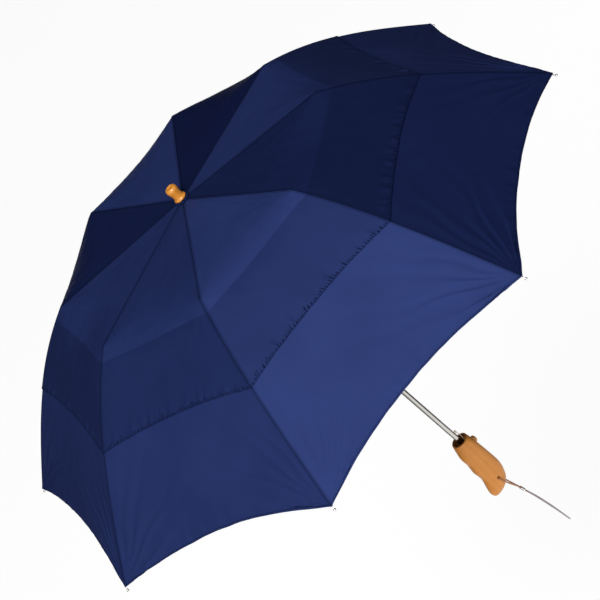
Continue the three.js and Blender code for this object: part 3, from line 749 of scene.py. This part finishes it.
def outer_strip(name, rib, side, low, high, layer, low_edge=False, high_edge=False):
    """Half a gore of outer cloth beside a rib, from low to high, where 0 is the elbow and 1 the tip.

    layer is 0 for the vented top layer and 1 for the one below it. low_edge and high_edge are free edges.
    """
    gore = rib if side > 0 else (rib - 1) % RIBS
    shares = np.linspace(0, 0.5, STRIP_COLUMNS)
    shares = np.append(shares, 2 * shares[-1] - shares[-2])
    shares = shares if side > 0 else 1 - shares
    ends = (["start"] if low_edge else []) + (["end"] if high_edge else [])
    rows = rows_between(low * OUTER, high * OUTER, 3.0 if high == 1 else 6.0, ends)
    spare = ["right"] + ([] if low_edge else ["start"]) + ([] if high_edge else ["end"])
    rows = np.array([*([] if low_edge else [rows[0] - 4]), *rows, *([] if high_edge else [rows[-1] + 4])])
    across, rows = np.meshgrid(shares, rows)
    share_of_pull = 1 if layer else np.clip(rows / (VENT_EDGE * OUTER), 0, 1)
    q = rows * (1 - (1 - pull(across)) * share_of_pull)
    from_low, from_high = rows - low * OUTER, high * OUTER - rows
    edge = np.full(q.shape, NO_EDGE)
    spread = 2 * rib_profile(q)[..., 0] * math.sin(RIB_STEP / 2) * (across - 0.5)
    middle = 1 - (2 * across - 1) ** 2
    lift = -layer * (LAYER_STEP + 0.9 * middle * np.clip(rows / 40, 0, 1))
    hem = VENT_EDGE * OUTER - rows if layer == 0 else OUTER - rows
    gather = puckers if layer == 0 else hem_puckers
    ripple = gather(spread + 700 * gore, 0.15 * q) * np.exp(-((hem - 9) / 8) ** 2)
    lift += (PUCKER if layer == 0 else HEM_PUCKER) * np.maximum(ripple, -0.3) * np.clip(middle * 4, 0, 1)
    if layer == 0:
        lift += 0.3 * middle * np.exp(-hem / 28)
    else:
        lift -= 2.2 * middle * np.exp(-hem / 10)
    if high_edge:
        edge = np.minimum(edge, from_high)
        lift += CLOTH * np.clip((2 * STITCH_INSET - from_high) / 0.4, 0, 1)   # the hem is turned under
    if low_edge:
        edge = np.minimum(edge, from_low)
    piece = cloth_piece(name, gore, across, q, edge, f"outer_{rib + 1}", lift, spare)
    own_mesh(piece)
    return piece


def canopy():
    """Both layers: one sheet in look, drawn as strips so that it can fold with its ribs."""
    top = inner_cloth()
    bottom = []
    for rib in range(RIBS):
        for side, tag in ((1, "a"), (-1, "b")):
            name = f"top_cloth_{rib + 1}{tag}"
            top.append(outer_strip(name, rib, side, 0.0, VENT_EDGE, 0, high_edge=True))
            for k, keep in enumerate(BOTTOM_FOLDS):
                low, high = BOTTOM_BREAKS[k], BOTTOM_BREAKS[k + 1]
                name = f"bottom_cloth_{rib + 1}{tag}_{k + 1}"
                bottom.append(outer_strip(name, rib, side, low, high, 1,
                                          low_edge=k == 0, high_edge=high == 1.0))
    for piece in top:
        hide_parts("canopy_top")
    for piece in bottom:
        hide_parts("canopy_bottom")


canopy()


# ------------------------------------------------------------------ rosette and finial
# outlines as radius and height above the apex
COLLAR = [(3.9, 1.2), (9, 1.0), (12.2, 1.3), (12.6, 2.0), (9.8, 3.3), (3.9, 3.5), (3.9, 1.2)]
COLLAR_LOOSENESS = (0, 0.55, 1, 0.9, 0.5, 0)  # share of the ruffle at each of the collar's points
FINIAL = [
    (8.8, 3.85), (9.9, 4.5), (10.1, 5.5), (9.8, 6.6), (8.7, 7.8), (8.15, 10), (8.15, 13), (8.5, 16.5),
    (9.1, 20), (9.35, 22.6), (9.0, 25), (7.9, 26.9), (6.3, 27.8), (5.1, 27.9), (4.4, 27.3), (3.4, 26.8),
    (1.2, 26.6),
]
FINIAL_STEP = 0.8


def rosette():
    """A gathered collar of the same cloth round the finial's foot."""
    def ruffle(angle, i):
        share = COLLAR_LOOSENESS[min(i, len(COLLAR_LOOSENESS) - 1)]
        wave = math.sin(11 * angle) + 0.7 * math.sin(17 * angle + 1) + 0.4 * math.sin(29 * angle + 2)
        return 0.75 * share * wave, 0.55 * share * math.sin(13 * angle + 0.6) + 0.3 * share * wave

    profile = [(r, APEX_Z + z) for r, z in COLLAR]
    collar = lathe("rosette_ruffle", profile, ROSETTE_CLOTH, 180, ripple=ruffle)
    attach(collar, "mast")
    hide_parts("rosette")


def finial():
    """The turned wooden knob, its outline smooth between the listed points."""
    line = centripetal([np.array((r, 0, z), float) for r, z in FINIAL], FINIAL_STEP)
    cap = lathe("finial_cap", [(max(0.0, r), APEX_Z + z) for r, _, z in line], FINIAL_WOOD, 96)
    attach(cap, "mast")
    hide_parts("finial")


rosette()
finial()


# ------------------------------------------------------------------ handle and button
# outlines of the grip: depth below the rim, and x (FRONT and BACK) or y (SIDE)
FRONT = [
    (0, 14.4), (8, 16.8), (16, 18.8), (24, 20.6), (33, 21.2), (41, 21), (50, 22.3), (60, 23.8), (70, 23.2),
    (78, 23), (86, 24.4), (94, 26.8), (102, 29.2), (109, 30.6), (115, 30), (119, 27.6), (121, 21.4),
]
BACK = [
    (0, -14.4), (12, -15.7), (30, -16.6), (56, -17.1), (74, -17), (87, -15.2), (97, -12.2), (105, -8.4),
    (112, -2.6), (117, 4.4), (119.8, 12), (121, 20.6),
]
SIDE = [
    (0, 14.4), (30, 14.3), (60, 13.6), (85, 12.6), (100, 11.6), (110, 10), (116, 7.6), (119.5, 4.6),
    (121, 1),
]
RIM = [(0, 0.6), (0.1, 0.3), (0.4, 0.08)]    # depth of the rim's rings, and how far they draw in
BACK_EDGES = 1.6                             # squareness of the back: two soft edges down its length
GRIP_SIDES = 96
SHAFT_BORE_R, SHAFT_BORE_DEPTH = 4.5, 84.3
BUTTON_BORE_R, BUTTON_SEAT_R = 3.3, 6.8
BUTTON_SEAT_X = -13.35                       # floor of the round recess behind the button's head
STRAP_HOLE_R = 2.6
# the button's outline from its foot to its dome: radius, and x
BUTTON = [
    (0.3, -8.3), (1.6, -8.3), (1.6, -10.3), (3.5, -10.3), (3.5, -10.9), (3.0, -10.9), (3.0, -15.3),
    (6.0, -15.3), (6.2, -15.7), (6.2, -16.9), (6.15, -17.6), (5.7, -18.7), (4.6, -19.7), (3.0, -20.4),
    (1.3, -20.7), (0.3, -20.78),
]


def along_outline(outline, depth):
    """A smooth curve through an outline's points: its value at a depth below the rim."""
    depths, values = (np.array(v, float) for v in zip(*outline))
    slopes = np.gradient(values, depths)
    slopes[1:-1] = (values[2:] - values[:-2]) / (depths[2:] - depths[:-2])
    i = int(np.clip(np.searchsorted(depths, depth) - 1, 0, len(depths) - 2))
    span = depths[i + 1] - depths[i]
    t = (depth - depths[i]) / span
    return ((2 * t ** 3 - 3 * t ** 2 + 1) * values[i] + (t ** 3 - 2 * t ** 2 + t) * span * slopes[i]
            + (3 * t ** 2 - 2 * t ** 3) * values[i + 1] + (t ** 3 - t ** 2) * span * slopes[i + 1])


def handle_ring(depth, shrink=0.0):
    """One cross-section of the grip: round at the rim, flatter at both sides and at the back below it."""
    front, back, side = (along_outline(o, depth) for o in (FRONT, BACK, SIDE))
    all_round = 0.5 * min(1, depth / 30)
    edges = BACK_EDGES * min(1, depth / 12) * min(1, max(0, (96 - depth) / 24))
    ring = []
    for j in range(GRIP_SIDES):
        angle = 2 * math.pi * j / GRIP_SIDES
        c, s = math.cos(angle), math.sin(angle)
        squareness = 2 + all_round + (edges if c < 0 else 0)
        reach = (abs(c) ** squareness + abs(s) ** squareness) ** (-1 / squareness)
        x = (front + back) / 2 + ((front - back) / 2 - shrink) * reach * c
        y = (side - shrink) * reach * s
        ring.append((x * MM, y * MM, (MOUTH_Z - depth) * MM))
    return ring


def handle():
    """The carved grip with its hollow mouth, shaft bore, button seat and strap hole."""
    depths = [*np.linspace(1.2, 100, 84), *np.linspace(101, 118, 24), 118.8, 119.5, 120.1, 120.5, 120.75]
    rings = [handle_ring(depth, shrink) for depth, shrink in RIM] + [handle_ring(depth) for depth in depths]
    points = [p for ring in rings for p in ring]
    last = (len(rings) - 1) * GRIP_SIDES
    faces = [tuple(reversed(f)) for f in ring_faces(len(rings), GRIP_SIDES)]
    faces += [tuple(range(GRIP_SIDES)), tuple(reversed(range(last, last + GRIP_SIDES)))]
    grip = mesh_object("carved_grip", points, faces, HONEY)
    cut_with(
        grip,
        rod_along(2, CUP_R, MOUTH_Z - CUP_DEPTH, MOUTH_Z + 2, (0, 0, 0), 72),
        rod_along(2, SHAFT_BORE_R, MOUTH_Z - SHAFT_BORE_DEPTH, MOUTH_Z - 20, (0, 0, 0)),
        rod_along(0, BUTTON_BORE_R, -26, -8, (0, 0, BUTTON_Z)),
        rod_along(0, BUTTON_SEAT_R, -26, BUTTON_SEAT_X, (0, 0, BUTTON_Z)),
        rod_along(1, STRAP_HOLE_R, -20, 20, (STRAP_HOLE[0], 0, STRAP_HOLE[1])),
    )
    smooth_by_angle(grip, 38)
    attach(grip, "grip")
    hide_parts("handle")


def button():
    """Domed wooden push button with a turned shoulder."""
    head = lathe("button_dome", BUTTON, FINIAL_WOOD, 64)
    head.data.transform(Matrix.Translation((0, 0, BUTTON_Z * MM)) @ Matrix.Rotation(math.pi / 2, 4, "Y"))
    head.data.flip_normals()
    smooth_by_angle(head, 40)
    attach(head, "button")
    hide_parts("push_button")


handle()
button()


# ------------------------------------------------------------------ rib tips
TIP_SETBACK = 1.2                            # of the lathed cap's origin from the CAD cap's middle
TIP_NECK = [(0.4, -8), (1.25, -7.6), (1.35, -6), (1.35, -1.5), (1.0, -0.6), (0.85, 1.0), (0.85, 3.0)]
TIP_BALL_R, TIP_BALL_Z = 2.0, 5.0


def rib_tips():
    """Nickel-plated end caps on the ribs' wires: a slim neck and a ball."""
    angles = np.linspace(0.45, math.pi - 0.12, 14)
    ball = [(TIP_BALL_R * math.sin(t), TIP_BALL_Z - TIP_BALL_R * math.cos(t)) for t in angles]
    for rib in range(RIBS):
        angle = FIRST_RIB + RIB_STEP * rib
        low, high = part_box(f"rib_tip_{rib + 1}")
        centre = (low + high) / 2
        radial = Vector((math.cos(angle), math.sin(angle), 0))
        ends = rib_profile(np.array([OUTER * 0.985, OUTER]))
        slope = Vector(((ends[1] - ends[0]) / np.linalg.norm(ends[1] - ends[0])).tolist())
        direction = (radial * slope[0] + Vector((0, 0, slope[1]))).normalized()
        cap = lathe(f"tip_cap_{rib + 1}", [*TIP_NECK, *ball], NICKEL, 24)
        turn = direction.to_track_quat("Z", "Y").to_matrix().to_4x4()
        cap.data.transform(Matrix.Translation(centre - direction * TIP_SETBACK * MM) @ turn)
        smooth_by_angle(cap, 50)
        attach(cap, f"outer_{rib + 1}")
        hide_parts(f"rib_tip_{rib + 1}")


rib_tips()


# ------------------------------------------------------------------ finishes of the frame's own pieces
FINISHES = {
    "lower_tube": CHROME, "upper_tube": CHROME, "crown": BLACK, "runner": BLACK, "crown_wire": SPRING_STEEL,
    "latch_block": BLOCK_WOOD, "latch_lever": CLEAR, "latch_pin": SPRING_STEEL, "latch_spring": SPRING_STEEL,
    "main_spring": SPRING_STEEL, "spring_seat": BLACK,
}


def finish_frame():
    """Gives every carried-over CAD piece its material; ribs, stretchers and link rods are plain steel."""
    for name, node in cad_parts.items():
        if node.hide_render:
            continue
        node.data.materials.clear()
        node.data.materials.append(FINISHES.get(name, STEEL))
        smooth_by_angle(node, 32)
        if name in ("crown", "runner", "latch_block", "latch_lever"):
            bevel_edges(node, 0.25, 40)


finish_frame()


# ------------------------------------------------------------------ floor and lights
# in metres
FLOOR_Z = -2.2                               # well below the raised umbrella, so its shadow is faint
FLOOR_HALF_WIDTH, FLOOR_HALF_LENGTH = 2.8, 30
CANOPY_MIDDLE = (0, 0, 0.45)


def floor():
    """A pale floor that gives off a little light, as a lit studio floor does."""
    n = Nodes("pale_floor")
    mottle = n.noise(n.place("Object"), 2.0, 2.0)
    n.colour(n.mix(mottle, (0.48, 0.48, 0.48), (0.50, 0.50, 0.50)))
    n.set(roughness=0.9, specular_ior_level=0.1, emission_strength=0.82)
    n.shader.inputs["Emission Color"].default_value = (1, 1, 1, 1)
    signs = ((-1, -1), (1, -1), (1, 1), (-1, 1))
    corners = [(x * FLOOR_HALF_WIDTH, y * FLOOR_HALF_LENGTH, FLOOR_Z) for x, y in signs]
    ground = mesh_object("floor", corners, [(0, 1, 2, 3)], n.material, smooth=False)


def soft_box(name, place, size, power):
    """A square white area light that faces the canopy."""
    light = bpy.data.objects.new(name, bpy.data.lights.new(name, "AREA"))
    light.data.shape, light.data.size = "SQUARE", size
    light.data.energy = power
    bpy.context.scene.collection.objects.link(light)
    light.location = place
    light.rotation_mode = "QUATERNION"
    light.rotation_quaternion = (Vector(CANOPY_MIDDLE) - Vector(place)).to_track_quat("-Z", "Y")


def lights():
    """A big soft box beside the camera, a dim one below it, and a room that is palest behind the camera."""
    world = bpy.data.worlds.new("studio")
    bpy.context.scene.world = world
    world.use_nodes = True
    tree = world.node_tree
    where = tree.nodes.new("ShaderNodeTexCoord")
    facing = tree.nodes.new("ShaderNodeVectorMath")
    facing.operation = "DOT_PRODUCT"
    facing.inputs[1].default_value = Vector((0.25, 0.9, 0.1)).normalized()
    tree.links.new(where.outputs["Generated"], facing.inputs[0])
    level = tree.nodes.new("ShaderNodeMapRange")
    for name, value in (("From Min", -0.3), ("From Max", 1.0), ("To Min", 0.05), ("To Max", 0.62)):
        level.inputs[name].default_value = value
    tree.links.new(facing.outputs["Value"], level.inputs["Value"])
    background = tree.nodes["Background"]
    background.inputs[0].default_value = (1, 1, 1, 1)
    tree.links.new(level.outputs[0], background.inputs[1])
    soft_box("key", (0.55, 2.5, 3.0), 1.3, 130)
    soft_box("low", (1.6, 2.6, 0.2), 1.2, 22)


floor()
lights()
bpy.context.scene.view_settings.view_transform = "Standard"
